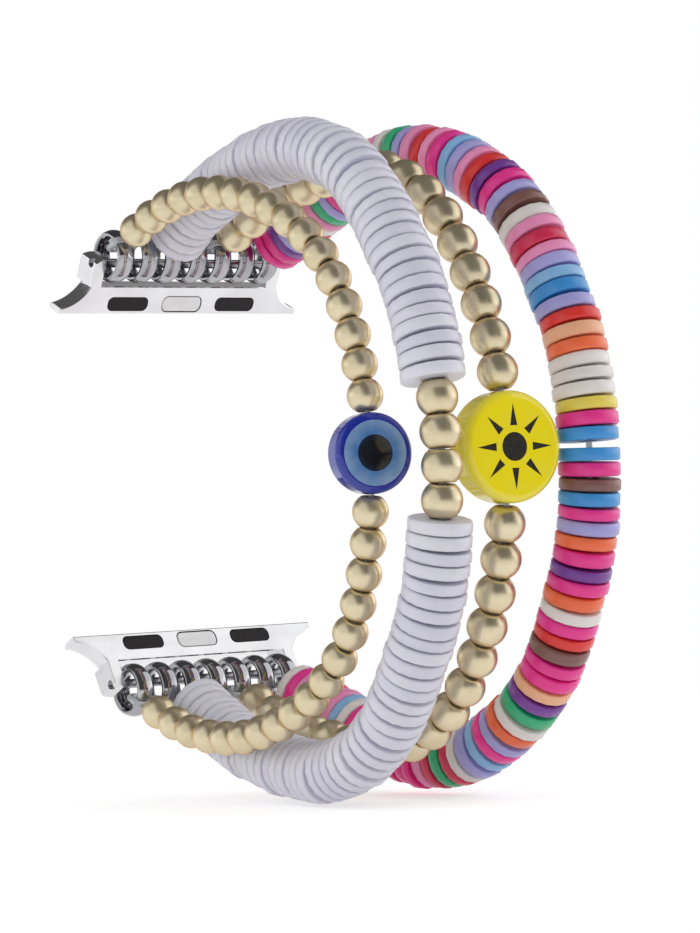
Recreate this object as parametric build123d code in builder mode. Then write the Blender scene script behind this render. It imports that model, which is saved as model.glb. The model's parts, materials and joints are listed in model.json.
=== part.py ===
# Beaded watch band: four strands of beads and clay discs between two lug adapters.
# Origin at the middle of the wrist opening, X towards the charms, Y along the rails, Z up.
import os
from math import atan2, cos, pi, radians, sin

from build123d import *

os.makedirs("parts", exist_ok=True)

# Lug adapters, in their own frame: X out of the wrist face, Y along the rail, Z from rail to ears
ADAPTER_FACE_X = -23.1
ADAPTER_MIDDLE_Y = -0.65
ADAPTER_PAD_Z = 16.7
ADAPTER_TILT = 27.0
RAIL_LENGTH = 28.4
RAIL_BELOW_PADS = 1.07
FACE_ABOVE_PADS = 1.87
BODY_DEPTH = 2.8
RAIL_TOP_SLOPE = 0.55
BACK_FLAT_Z = 0.5
BELLY_DEPTH = 1.5
BELLY_MIDDLE_DEPTH = 2.45
BELLY_MIDDLE_Z = -0.45
WING_TIP_HEIGHT = 0.55
WING_TIP_SETBACK = 0.1
WING_BEND_SHARE = 0.339
WING_BEND_Z = 0.45
WING_NECK_Z = 1.75
WING_BACK_ROUND = 1.4
WING_ROUND_TURN = 90.0
FORK_WIDTH = 19.7
EAR_THICKNESS = 1.3
EAR_ABOVE_BAR = 0.75
EAR_BEVEL_WIDTH = 0.75
EAR_BEVEL_DROP = 0.5
EAR_BACK_ROUND = 0.9
BAR_RISE = 4.0
BAR_BELOW_FACE = 0.85
EDGE_ROUND = 0.12

# Pads and latch button in the wrist face
WINDOW_PITCH = 6.4
WINDOW_ROUND = 0.62
PAD_LENGTH = 4.7
PAD_HEIGHT = 1.45
PAD_DEPTH = 0.9
PAD_GAP = 0.02
PAD_ROUND = 0.15
BUTTON_LENGTH = 4.6
BUTTON_HEIGHT = 1.6
BUTTON_CLEARANCE = 0.07
BUTTON_DEPTH = 0.6
BUTTON_ROUND = 0.12
FLANGE_LENGTH = 5.3
FLANGE_HEIGHT = 1.0
FLANGE_DEPTH = 0.4
BUTTON_TRAVEL = 0.45
BUTTON_BORE = 0.8
BUTTON_BORE_DEPTH = 0.7
BUTTON_SPRING_DIAMETER = 0.6
BUTTON_SPRING_WIRE = 0.1
BUTTON_SPRING_TURNS = 4
BUTTON_SPRING_LENGTH = 0.75
PLATE_LENGTH = 6.0
PLATE_HEIGHT = 1.3
PLATE_DEPTH = 0.3
PLATE_SEAT = 1.7

# Bar pressed through the ears
BAR_DIAMETER = 0.9
BAR_RECESS = 0.3
BAR_FIT = 0.01

# Chrome rings on the bars
RING_COUNT = 7
RING_END_GAP = 0.2
RING_DIAMETER = 5.25
RING_BORE = 3.3
RING_WIDTH = 1.9
RING_EDGE_DIAMETER = 4.5
RING_EDGE_WALL = 0.16
RING_PULL = 0.7
RING_PULL_ANGLE = 65.0

# Elastic cords
CORD_DIAMETER = 0.6
CORD_RING_GAP = 0.08
LOOP_SIDE_GAP = 0.12
CORD_LOOP_ROUND = 0.42
KNOT_DIAMETER = 1.1
KNOT_SEAM_ANGLE = 63.0

# Strand curves: reach from the bar line, arc radii, arc angles in degrees
NEAR_GOLD_REACH = 40.05
NEAR_GOLD_TURN = -0.6
NEAR_GOLD_FRONT_RADIUS = 33.0
NEAR_GOLD_FRONT_ANGLE = 25.0
NEAR_GOLD_CROWN_RADIUS = 17.5
NEAR_GOLD_CROWN_ANGLE = 30.0
WHITE_REACH = 47.95
WHITE_TURN = 4.1
WHITE_FRONT_RADIUS = 33.4
WHITE_FRONT_ANGLE = 46.5
WHITE_CROWN_RADIUS = 17.2
WHITE_CROWN_ANGLE = 43.0
FAR_GOLD_REACH = 46.55
FAR_GOLD_TURN = 1.1
FAR_GOLD_FRONT_RADIUS = 34.0
FAR_GOLD_FRONT_ANGLE = 36.0
FAR_GOLD_CROWN_RADIUS = 17.6
FAR_GOLD_CROWN_ANGLE = 54.0
COLOUR_REACH = 48.15
COLOUR_TURN = -2.05
COLOUR_FRONT_RADIUS = 34.0
COLOUR_FRONT_ANGLE = 36.0
COLOUR_CROWN_RADIUS = 21.5
COLOUR_CROWN_ANGLE = 76.0

# Beads and discs
SMALL_BEAD_DIAMETER = 3.3
SMALL_BEAD_COUNT = 17
BEAD_DIAMETER = 3.75
BEAD_COUNT = 17
BEAD_HOLE = 1.2
BEAD_GAP = 0.03
MIDDLE_BEAD_COUNT = 2
MIDDLE_BEAD_LENGTH = 2.95
WHITE_DISC_DIAMETER = 6.0
WHITE_DISC_COUNT = 45
COLOUR_DISC_DIAMETER = 5.8
DISC_HOLE = 1.9
DISC_GAP = 0.025
DISC_OFFSET = 0.12
CORD_SHOW = 0.35

# Flat charm beads
EYE_DIAMETER = 7.3
EYE_THICKNESS = 2.8
EYE_IRIS_DIAMETER = 5.9
EYE_PUPIL_DIAMETER = 3.3
EYE_INLAY_DEPTH = 0.5
EYE_ROUND = 0.6
EYE_TWIST = 17.0
CHARM_DIAMETER = 10.1
CHARM_THICKNESS = 3.4
CHARM_ROUND = 0.7
CHARM_TWIST = 6.0
CHARM_HOLE = 1.2
SUN_DISC_DIAMETER = 2.6
SUN_RAY_START = 1.9
SUN_RAY_END = 3.9
SUN_RAY_WIDTH = 0.75
SUN_RAY_COUNT = 8
PRINT_DEPTH = 0.08

# Shares: thickness of one disc in the stack, side step of one disc, and where the strands start
THICKNESS_SHARES = (1.0, 1.08, 0.94, 1.03, 0.9, 1.06, 0.98, 1.12, 0.93)
STEP_SHARES = (0.2, -0.7, 0.5, 0.9, -0.4, -1.0, 0.6, -0.1, 0.8, -0.6, 0.0)
SOLVE_STEPS = 12
BEAD_INSET_SHARE = 0.25
DISC_ROUND_SHARE = 0.14

# Colours of the far strand from its open place in front, upwards and downwards
UPPER_COLOURS = (
    "blue", "hot_pink", "yellow", "cream", "cream", "cream", "orange", "peach", "red", "lavender",
    "blue", "sky", "lavender", "pink", "crimson", "pink", "cream", "brown", "lavender", "hot_pink",
    "purple", "red", "pink", "lavender", "sky", "hot_pink", "pink", "red", "pink", "lavender",
    "green", "cream", "pink", "peach", "lavender", "sky", "brown", "hot_pink", "lavender", "green",
    "pink", "cream", "crimson", "peach", "lavender", "purple", "hot_pink", "hot_pink",
)
LOWER_COLOURS = (
    "blue", "hot_pink", "brown", "blue", "hot_pink", "lavender", "orange", "hot_pink", "purple",
    "hot_pink", "orange", "cream", "hot_pink", "red", "brown", "hot_pink", "hot_pink", "peach",
    "purple", "green", "cream", "orange", "lavender", "hot_pink", "sky", "lavender", "cream",
    "crimson", "green", "crimson", "pink", "hot_pink", "hot_pink", "hot_pink", "yellow", "sky",
    "green", "green", "hot_pink", "cream", "sky", "pink", "pink", "crimson", "lavender", "pink",
    "hot_pink", "cream",
)

# Derived places
TILT = radians(ADAPTER_TILT)
BAR_X = ADAPTER_FACE_X + BAR_RISE * sin(TILT) - BAR_BELOW_FACE * cos(TILT)
BAR_Z = ADAPTER_PAD_Z + BAR_RISE * cos(TILT) + BAR_BELOW_FACE * sin(TILT)
LOOP_OUTER = RING_DIAMETER / 2 + CORD_RING_GAP + CORD_DIAMETER / 2
LOOP_INNER = RING_BORE / 2 - CORD_RING_GAP - CORD_DIAMETER / 2
LOOP_SIDE = RING_WIDTH / 2 + LOOP_SIDE_GAP + CORD_DIAMETER / 2
STRAND_START = LOOP_OUTER + CORD_DIAMETER / 2 + BEAD_GAP
RING_PITCH = (FORK_WIDTH - 2 * RING_END_GAP - RING_WIDTH) / (RING_COUNT - 1)
RING_OUT = RING_PULL * cos(radians(RING_PULL_ANGLE))
RING_UP = RING_PULL * sin(radians(RING_PULL_ANGLE))


def ring_y(number):
    """Place of a ring along the bar, counted from one at the near end."""
    return ADAPTER_MIDDLE_Y + RING_PITCH * (number - (RING_COUNT + 1) / 2)


class Strand:
    """Half of a strand's middle line: two given arcs and a third that meets the bar, all tangent."""

    def __init__(self, anchor_y, reach, turn, front_radius, front_angle, crown_radius, crown_angle):
        self.plane = Plane(
            origin=(BAR_X, anchor_y, 0),
            x_dir=(cos(radians(turn)), -sin(radians(turn)), 0),
            z_dir=(-sin(radians(turn)), -cos(radians(turn)), 0),
        )
        first = radians(front_angle)
        second = first + radians(crown_angle)
        centre_one = (reach - front_radius, 0)
        join_one = (centre_one[0] + front_radius * cos(first), front_radius * sin(first))
        centre_two = (join_one[0] - crown_radius * cos(first), join_one[1] - crown_radius * sin(first))
        join_two = (centre_two[0] + crown_radius * cos(second), centre_two[1] + crown_radius * sin(second))
        lean = pi / 4
        for _ in range(SOLVE_STEPS):
            end = (RING_OUT + STRAND_START * cos(lean), BAR_Z + RING_UP + STRAND_START * sin(lean))
            chord = (end[0] - join_two[0], end[1] - join_two[1])
            across = chord[0] * cos(second) + chord[1] * sin(second)
            radius = -(chord[0] ** 2 + chord[1] ** 2) / (2 * across)
            centre = (join_two[0] - radius * cos(second), join_two[1] - radius * sin(second))
            last = atan2((end[1] - centre[1]) / radius, (end[0] - centre[0]) / radius)
            lean = last - pi / 2
        self.lean = lean
        self.end = end
        self.arcs = (
            (centre_one, front_radius, 0.0, first),
            (centre_two, crown_radius, first, second),
            (centre, radius, second, last),
        )

    def length(self, inset):
        """Length of the half curve at a given inset towards the wrist."""
        return sum((radius - inset) * (stop - start) for _, radius, start, stop in self.arcs)

    def station(self, distance, inset, side):
        """Place in space on the middle line, for a distance run along the inset curve."""
        angle = 0.0
        for centre, radius, start, stop in self.arcs:
            run = (radius - inset) * (stop - start)
            angle = start + min(distance, run) / (radius - inset)
            place = (centre[0] + radius * cos(angle), centre[1] + radius * sin(angle))
            if distance <= run:
                break
            distance -= run
        flat = self.plane.from_local_coords(Vector(place[0], side * place[1], 0))
        along = self.plane.from_local_coords(Vector(-sin(angle), side * cos(angle), 0)) - self.plane.origin
        return Plane(origin=flat, x_dir=self.plane.z_dir, z_dir=along)


near_gold = Strand(ring_y(1), NEAR_GOLD_REACH, NEAR_GOLD_TURN, NEAR_GOLD_FRONT_RADIUS,
                   NEAR_GOLD_FRONT_ANGLE, NEAR_GOLD_CROWN_RADIUS, NEAR_GOLD_CROWN_ANGLE)
white = Strand(ring_y(3), WHITE_REACH, WHITE_TURN, WHITE_FRONT_RADIUS,
               WHITE_FRONT_ANGLE, WHITE_CROWN_RADIUS, WHITE_CROWN_ANGLE)
far_gold = Strand(ring_y(5), FAR_GOLD_REACH, FAR_GOLD_TURN, FAR_GOLD_FRONT_RADIUS,
                  FAR_GOLD_FRONT_ANGLE, FAR_GOLD_CROWN_RADIUS, FAR_GOLD_CROWN_ANGLE)
colour = Strand(ring_y(7), COLOUR_REACH, COLOUR_TURN, COLOUR_FRONT_RADIUS,
                COLOUR_FRONT_ANGLE, COLOUR_CROWN_RADIUS, COLOUR_CROWN_ANGLE)


def stations(strand, start, lengths, inset, side):
    """Middle planes of pieces threaded one after another, each taking its length of the inset curve."""
    places = []
    run = start
    for piece in lengths:
        places.append(strand.station(run + piece / 2, inset, side))
        run += piece
    return places


# Elastic cords: one run through all beads, a knot at each end and a loop round the ring
def cord_run(strand):
    """The cord between its two knots, along both halves of the strand."""
    with BuildPart() as tube:
        with BuildLine(strand.plane) as run:
            for side in (1, -1):
                for centre, radius, start, stop in strand.arcs:
                    corners = []
                    for angle in (start, (start + stop) / 2, stop):
                        up = centre[1] + radius * sin(angle)
                        corners.append((centre[0] + radius * cos(angle), side * up))
                    ThreePointArc(*corners)
        path = run.wires()[0]
        with BuildSketch(Plane(origin=path @ 0, z_dir=path % 0)):
            Circle(CORD_DIAMETER / 2)
        sweep(path=path)
    return tube


def cord_loop(strand, side):
    """The loop that a cord's end makes round the wall of its ring."""
    out = (cos(strand.lean), side * sin(strand.lean))
    centre = Vector(RING_OUT, side * (BAR_Z + RING_UP), 0)
    outward = strand.plane.from_local_coords(Vector(*out, 0)) - strand.plane.origin
    loop_plane = Plane(
        origin=strand.plane.from_local_coords(centre),
        x_dir=outward,
        z_dir=outward.cross(strand.plane.z_dir),
    )
    with BuildPart() as tube:
        with BuildLine(loop_plane) as loop:
            corners = (
                (LOOP_OUTER, LOOP_SIDE),
                (LOOP_INNER, LOOP_SIDE),
                (LOOP_INNER, -LOOP_SIDE),
                (LOOP_OUTER, -LOOP_SIDE),
            )
            FilletPolyline(*corners, radius=CORD_LOOP_ROUND, close=True)
        path = loop.wires()[0]
        with BuildSketch(Plane(origin=path @ 0, z_dir=path % 0)):
            Circle(CORD_DIAMETER / 2)
        sweep(path=path)
    return tube


def knot_plane(strand, side):
    """Plane of a knot, turned so that the ball's seam lies between the run and the loop."""
    outward = strand.plane.x_dir * cos(strand.lean) + Vector(0, 0, side * sin(strand.lean))
    turn = radians(KNOT_SEAM_ANGLE)
    seam = outward * cos(turn) + strand.plane.z_dir * sin(turn)
    place = strand.plane.from_local_coords(Vector(strand.end[0], side * strand.end[1], 0))
    return Plane(origin=place, x_dir=seam, z_dir=outward.cross(strand.plane.z_dir))


def make_cord(strand):
    """The whole cord of a strand as one solid."""
    with BuildPart() as cord:
        add(cord_run(strand).part)
        for side in (1, -1):
            with Locations(knot_plane(strand, side)):
                Sphere(KNOT_DIAMETER / 2)
            add(cord_loop(strand, side).part)
    return cord


cord_near_gold = make_cord(near_gold)
cord_white = make_cord(white)
cord_far_gold = make_cord(far_gold)
cord_colour = make_cord(colour)


# Chrome rings: plump rims round a wide bore, like small doughnuts
with BuildPart() as ring_form:
    with BuildSketch(Plane.XY):
        with BuildLine():
            edge_outer = RING_EDGE_DIAMETER / 2
            edge_inner = edge_outer - RING_EDGE_WALL
            crown = ThreePointArc(
                (edge_outer, RING_WIDTH / 2), (RING_DIAMETER / 2, 0), (edge_outer, -RING_WIDTH / 2)
            )
            throat = ThreePointArc(
                (edge_inner, -RING_WIDTH / 2), (RING_BORE / 2, 0), (edge_inner, RING_WIDTH / 2)
            )
            Line(crown @ 1, throat @ 0)
            Line(throat @ 1, crown @ 0)
        make_face()
    revolve(axis=Axis.Y)


def make_rings(number, sides, turn=0.0):
    """The rings at one place along the bars. Those beside the ears stay square to the bar."""
    places = [(BAR_X + RING_OUT, ring_y(number), side * (BAR_Z + RING_UP)) for side in sides]
    with BuildPart() as rings:
        with Locations(*[Location(place, (0, 0, -turn)) for place in places]):
            add(ring_form.part)
    return rings


rings_near_gold = make_rings(1, (1, -1))
rings_white = make_rings(3, (1, -1), WHITE_TURN)
rings_far_gold = make_rings(5, (1, -1), FAR_GOLD_TURN)
rings_colour = make_rings(7, (1, -1))
top_spacer_near = make_rings(2, (1,))
top_spacer_middle = make_rings(4, (1,))
top_spacer_far = make_rings(6, (1,))
bottom_spacer_near = make_rings(2, (-1,))
bottom_spacer_middle = make_rings(4, (-1,))
bottom_spacer_far = make_rings(6, (-1,))


# Round metal beads: balls with flat drilled ends
def bead_form(diameter, length):
    """One drilled bead with its hole along Z."""
    with BuildPart() as bead:
        Sphere(diameter / 2)
        Cylinder(diameter, length, mode=Mode.INTERSECT)
        Cylinder(BEAD_HOLE / 2, diameter, mode=Mode.SUBTRACT)
    return bead


def make_beads(strand, side, start, count, diameter, length):
    """A run of equal beads threaded on one half of a strand."""
    form = bead_form(diameter, length - BEAD_GAP)
    places = stations(strand, start, [length] * count, diameter * BEAD_INSET_SHARE, side)
    with BuildPart() as beads:
        with Locations(*[place.location for place in places]):
            add(form.part)
    return beads


def bead_length(strand, start, count, diameter):
    """Length of cord that each bead takes so that a run just fills the half strand."""
    return (strand.length(diameter * BEAD_INSET_SHARE) - start) / count


eye_half = EYE_DIAMETER / 2 + BEAD_GAP
charm_half = CHARM_DIAMETER / 2 + BEAD_GAP
small_length = bead_length(near_gold, eye_half, SMALL_BEAD_COUNT, SMALL_BEAD_DIAMETER)
large_length = bead_length(far_gold, charm_half, BEAD_COUNT, BEAD_DIAMETER)
near_beads_upper = make_beads(near_gold, 1, eye_half, SMALL_BEAD_COUNT, SMALL_BEAD_DIAMETER, small_length)
near_beads_lower = make_beads(near_gold, -1, eye_half, SMALL_BEAD_COUNT, SMALL_BEAD_DIAMETER, small_length)
far_beads_upper = make_beads(far_gold, 1, charm_half, BEAD_COUNT, BEAD_DIAMETER, large_length)
far_beads_lower = make_beads(far_gold, -1, charm_half, BEAD_COUNT, BEAD_DIAMETER, large_length)
with BuildPart() as middle_beads:
    for side in (1, -1):
        middle = make_beads(white, side, 0, MIDDLE_BEAD_COUNT, BEAD_DIAMETER, MIDDLE_BEAD_LENGTH)
        add(middle.part)


# Clay discs: cut from a rolled tube, so their thickness and seat vary a little
def disc_form(diameter, thickness):
    """One clay disc with softened rims and its hole along Z."""
    with BuildPart() as disc:
        Cylinder(diameter / 2, thickness)
        fillet(disc.edges(), thickness * DISC_ROUND_SHARE)
        Cylinder(DISC_HOLE / 2, diameter, mode=Mode.SUBTRACT)
    return disc


def make_discs(strand, side, start, names, diameter):
    """Discs of one half strand, as lists of placed solids under their colour names."""
    inset = diameter / 2 + DISC_OFFSET
    shares = [THICKNESS_SHARES[index % len(THICKNESS_SHARES)] for index in range(len(names))]
    unit = (strand.length(inset) - start) / sum(shares)
    forms = {share: disc_form(diameter, unit * share - DISC_GAP) for share in THICKNESS_SHARES}
    places = stations(strand, start, [unit * share for share in shares], inset, side)
    placed = {}
    for index, name in enumerate(names):
        step = STEP_SHARES[(index * 3 + (side > 0)) % len(STEP_SHARES)] * DISC_OFFSET
        across = STEP_SHARES[(index * 5 + 2) % len(STEP_SHARES)] * DISC_OFFSET
        spot = places[index].location * Location((across, step, 0))
        placed.setdefault(name, []).append(forms[shares[index]].part.moved(spot))
    return placed


# The beads' length is run at their own inset, so it is turned into the length at the discs' inset
middle_radius = WHITE_FRONT_RADIUS - BEAD_DIAMETER * BEAD_INSET_SHARE
disc_radius = WHITE_FRONT_RADIUS - WHITE_DISC_DIAMETER / 2 - DISC_OFFSET
white_start = MIDDLE_BEAD_COUNT * MIDDLE_BEAD_LENGTH * disc_radius / middle_radius
with BuildPart() as white_discs_upper:
    add(make_discs(white, 1, white_start, ["white"] * WHITE_DISC_COUNT, WHITE_DISC_DIAMETER)["white"])
with BuildPart() as white_discs_lower:
    add(make_discs(white, -1, white_start, ["white"] * WHITE_DISC_COUNT, WHITE_DISC_DIAMETER)["white"])

upper_colours = make_discs(colour, 1, CORD_SHOW / 2, UPPER_COLOURS, COLOUR_DISC_DIAMETER)
lower_colours = make_discs(colour, -1, CORD_SHOW / 2, LOWER_COLOURS, COLOUR_DISC_DIAMETER)
colour_discs = {}
for tint in sorted(set(UPPER_COLOURS) | set(LOWER_COLOURS)):
    with BuildPart() as tint_discs:
        add(upper_colours.get(tint, []) + lower_colours.get(tint, []))
    colour_discs[tint] = tint_discs


# Flat beads: discs drilled through their rims, with inlays or prints on both faces
def flat_bead_plane(strand, twist, diameter):
    """Plane of a flat bead at the front of its strand, with its face turned to the near side.

    Its straight hole follows the curved cord best when it sits inwards by half the cord's bow."""
    front_radius = strand.arcs[0][1]
    bow = diameter ** 2 / (8 * front_radius)
    place = strand.station(0, 0, 1).origin - strand.plane.x_dir * (bow / 2)
    turn = radians(twist)
    facing = strand.plane.x_dir * cos(turn) + strand.plane.z_dir * sin(turn)
    return Plane(origin=place, x_dir=(0, 0, 1), z_dir=facing)


def flat_bead(plane, diameter, thickness, rounding, hole):
    """The drilled disc without its decoration."""
    with BuildPart(plane) as bead:
        Cylinder(diameter / 2, thickness)
        fillet(bead.edges(), rounding)
        with Locations(Location((0, 0, 0), (0, 90, 0))):
            Cylinder(hole / 2, diameter, mode=Mode.SUBTRACT)
    return bead


def both_faces(plane, thickness, depth):
    """Planes at the bottom of an inlay of this depth in the front face and in the back face."""
    back = Plane(origin=plane.origin, x_dir=plane.x_dir, z_dir=-plane.z_dir)
    return plane.offset(thickness / 2 - depth), back.offset(thickness / 2 - depth)


eye_plane = flat_bead_plane(near_gold, EYE_TWIST, EYE_DIAMETER)
eye_faces = both_faces(eye_plane, EYE_THICKNESS, EYE_INLAY_DEPTH)
with BuildPart() as eye_pupils:
    with BuildSketch(*eye_faces):
        Circle(EYE_PUPIL_DIAMETER / 2)
    extrude(amount=EYE_INLAY_DEPTH)
with BuildPart() as eye_irises:
    with BuildSketch(*eye_faces):
        Circle(EYE_IRIS_DIAMETER / 2)
        Circle(EYE_PUPIL_DIAMETER / 2, mode=Mode.SUBTRACT)
    extrude(amount=EYE_INLAY_DEPTH)
with BuildPart() as eye_bead:
    add(flat_bead(eye_plane, EYE_DIAMETER, EYE_THICKNESS, EYE_ROUND, BEAD_HOLE).part)
    with BuildSketch(*eye_faces):
        Circle(EYE_IRIS_DIAMETER / 2)
    extrude(amount=EYE_INLAY_DEPTH, mode=Mode.SUBTRACT)

charm_plane = flat_bead_plane(far_gold, CHARM_TWIST, CHARM_DIAMETER)
charm_faces = both_faces(charm_plane, CHARM_THICKNESS, PRINT_DEPTH)
with BuildPart() as charm_suns:
    with BuildSketch(*charm_faces):
        Circle(SUN_DISC_DIAMETER / 2)
        ray_half = (SUN_RAY_END - SUN_RAY_START) / 2
        with PolarLocations(SUN_RAY_START + ray_half, SUN_RAY_COUNT):
            Polygon(
                (-ray_half, -SUN_RAY_WIDTH / 2),
                (ray_half, 0),
                (-ray_half, SUN_RAY_WIDTH / 2),
                align=None,
            )
    extrude(amount=PRINT_DEPTH)
with BuildPart() as charm_bead:
    add(flat_bead(charm_plane, CHARM_DIAMETER, CHARM_THICKNESS, CHARM_ROUND, CHARM_HOLE).part)
    add(charm_suns.part, mode=Mode.SUBTRACT)

# Lug adapter frame: the wrist face leans towards the wrist as it goes up to the ears
face_out = (cos(TILT), 0, -sin(TILT))
face_up = (sin(TILT), 0, cos(TILT))
pad_middle = (ADAPTER_FACE_X, ADAPTER_MIDDLE_Y, ADAPTER_PAD_Z)
face_plane = Plane(origin=pad_middle, x_dir=(0, 1, 0), z_dir=face_out)
section_plane = Plane(origin=pad_middle, x_dir=face_out, z_dir=(0, -1, 0))
out_axis = Axis(pad_middle, face_out)
ear_top = BAR_RISE + EAR_ABOVE_BAR
fork_outer = FORK_WIDTH / 2 + EAR_THICKNESS
rail_half = RAIL_LENGTH / 2
wing_tip = rail_half - WING_TIP_SETBACK
wing_bend = fork_outer + (wing_tip - fork_outer) * WING_BEND_SHARE
wing_tip_z = WING_TIP_HEIGHT - RAIL_BELOW_PADS
flare = ThreePointArc((wing_tip, wing_tip_z), (wing_bend, WING_BEND_Z), (fork_outer, WING_NECK_Z))
flare_spoke = (Vector(fork_outer, WING_NECK_Z) - flare.arc_center).normalized()


# Adapter body: one casting, cut from its section along the rail and its outline on the wrist face
with BuildPart() as top_adapter_body:
    with BuildSketch(section_plane):
        with BuildLine():
            Polyline(
                (-BELLY_DEPTH, -RAIL_BELOW_PADS),
                (0, -RAIL_BELOW_PADS),
                (0, FACE_ABOVE_PADS),
                (-BODY_DEPTH, FACE_ABOVE_PADS - RAIL_TOP_SLOPE),
                (-BODY_DEPTH, BACK_FLAT_Z),
            )
            ThreePointArc(
                (-BODY_DEPTH, BACK_FLAT_Z),
                (-BELLY_MIDDLE_DEPTH, BELLY_MIDDLE_Z),
                (-BELLY_DEPTH, -RAIL_BELOW_PADS),
            )
        make_face()
    extrude(amount=rail_half, both=True)
    for side in (1, -1):
        with BuildSketch(section_plane.offset(side * (FORK_WIDTH + EAR_THICKNESS) / 2)):
            with BuildLine():
                Polyline(
                    (-BODY_DEPTH + EAR_BACK_ROUND, ear_top),
                    (0, ear_top),
                    (0, BACK_FLAT_Z),
                    (-BODY_DEPTH, BACK_FLAT_Z),
                    (-BODY_DEPTH, ear_top - EAR_BACK_ROUND),
                )
                RadiusArc(
                    (-BODY_DEPTH, ear_top - EAR_BACK_ROUND),
                    (-BODY_DEPTH + EAR_BACK_ROUND, ear_top),
                    EAR_BACK_ROUND,
                )
            make_face()
        extrude(amount=EAR_THICKNESS / 2, both=True)
    with BuildSketch(face_plane):
        with BuildLine() as half_outline:
            Polyline(
                (0, -RAIL_BELOW_PADS),
                (rail_half, -RAIL_BELOW_PADS),
                (wing_tip, wing_tip_z),
            )
            ThreePointArc(
                (wing_tip, wing_tip_z),
                (wing_bend, WING_BEND_Z),
                (fork_outer, WING_NECK_Z),
            )
            Polyline(
                (fork_outer, WING_NECK_Z),
                (fork_outer, ear_top - EAR_BEVEL_DROP),
                (fork_outer - EAR_BEVEL_WIDTH, ear_top),
                (0, ear_top),
            )
            mirror(about=Plane.YZ)
        make_face()
    extrude(amount=-BODY_DEPTH, mode=Mode.INTERSECT)
    # The flare of each wing rounds off towards the back, from its neck to its tip
    for side in (1, -1):
        hub = face_plane.from_local_coords(Vector(side * flare.arc_center.X, flare.arc_center.Y, 0))
        spoke = Vector(0, side * flare_spoke.X, 0) + Vector(*face_up) * flare_spoke.Y
        with BuildSketch(Plane(origin=hub, x_dir=spoke, z_dir=spoke.cross(Vector(*face_out)))):
            with BuildLine():
                back_radius = flare.radius + WING_BACK_ROUND
                start = (flare.radius, WING_BACK_ROUND - BODY_DEPTH)
                stop = (back_radius, -BODY_DEPTH)
                Polyline(start, (0, start[1]), (0, stop[1] - WING_BACK_ROUND),
                         (back_radius, stop[1] - WING_BACK_ROUND), stop)
                RadiusArc(start, stop, -WING_BACK_ROUND)
            make_face()
        revolve(axis=Axis(hub, Vector(*face_out) * side), revolution_arc=WING_ROUND_TURN, mode=Mode.SUBTRACT)
    # Pockets for the pads, the button's way and chamber, and the plate's seat behind them
    with BuildSketch(face_plane):
        with Locations((-WINDOW_PITCH, 0), (WINDOW_PITCH, 0)):
            RectangleRounded(PAD_LENGTH + 2 * PAD_GAP, PAD_HEIGHT + 2 * PAD_GAP, WINDOW_ROUND)
    extrude(amount=-PAD_DEPTH - PAD_GAP, mode=Mode.SUBTRACT)
    with BuildSketch(face_plane):
        button_way = 2 * BUTTON_CLEARANCE
        way_round = WINDOW_ROUND + BUTTON_CLEARANCE
        RectangleRounded(BUTTON_LENGTH + button_way, BUTTON_HEIGHT + button_way, way_round)
    extrude(amount=-BUTTON_DEPTH - BUTTON_TRAVEL - BUTTON_CLEARANCE, mode=Mode.SUBTRACT)
    with BuildSketch(face_plane.offset(-BUTTON_DEPTH)):
        Rectangle(FLANGE_LENGTH + button_way, FLANGE_HEIGHT + button_way)
    extrude(amount=-(PLATE_SEAT - BUTTON_DEPTH), mode=Mode.SUBTRACT)
    with BuildSketch(face_plane.offset(-PLATE_SEAT)):
        Rectangle(PLATE_LENGTH + 2 * PAD_GAP, PLATE_HEIGHT + 2 * PAD_GAP)
    extrude(amount=-BODY_DEPTH, mode=Mode.SUBTRACT)
    with BuildSketch(section_plane):
        with Locations((-BAR_BELOW_FACE, BAR_RISE)):
            Circle(BAR_DIAMETER / 2 + BAR_FIT)
    extrude(amount=fork_outer, both=True, mode=Mode.SUBTRACT)
    rim = top_adapter_body.faces().filter_by(out_axis).sort_by(out_axis)[-1]
    chamfer(rim.outer_wire().edges(), EDGE_ROUND)

# Rubber pads glued in their pockets, flush with the wrist face
with BuildPart() as top_pads:
    with BuildSketch(face_plane.offset(-PAD_DEPTH)):
        with Locations((-WINDOW_PITCH, 0), (WINDOW_PITCH, 0)):
            RectangleRounded(PAD_LENGTH, PAD_HEIGHT, WINDOW_ROUND - PAD_GAP)
    extrude(amount=PAD_DEPTH)
    fillet(top_pads.edges().group_by(out_axis)[-1], PAD_ROUND)

# Latch button: an oval cap with a flange at each end that keeps it in, bored for its spring
with BuildPart() as top_latch_button:
    with BuildSketch(face_plane):
        RectangleRounded(BUTTON_LENGTH, BUTTON_HEIGHT, WINDOW_ROUND)
    extrude(amount=-BUTTON_DEPTH)
    fillet(top_latch_button.edges().group_by(out_axis)[-1], BUTTON_ROUND)
    with BuildSketch(face_plane.offset(-BUTTON_DEPTH - PAD_GAP)):
        Rectangle(FLANGE_LENGTH, FLANGE_HEIGHT)
    extrude(amount=-FLANGE_DEPTH)
    with BuildSketch(face_plane.offset(-BUTTON_DEPTH - PAD_GAP)):
        Rectangle(BUTTON_LENGTH - 2 * BUTTON_ROUND, FLANGE_HEIGHT)
    extrude(amount=PAD_GAP)
    with BuildSketch(face_plane.offset(-BUTTON_DEPTH - PAD_GAP - FLANGE_DEPTH)):
        Circle(BUTTON_BORE / 2)
    extrude(amount=BUTTON_BORE_DEPTH, mode=Mode.SUBTRACT)

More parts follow.
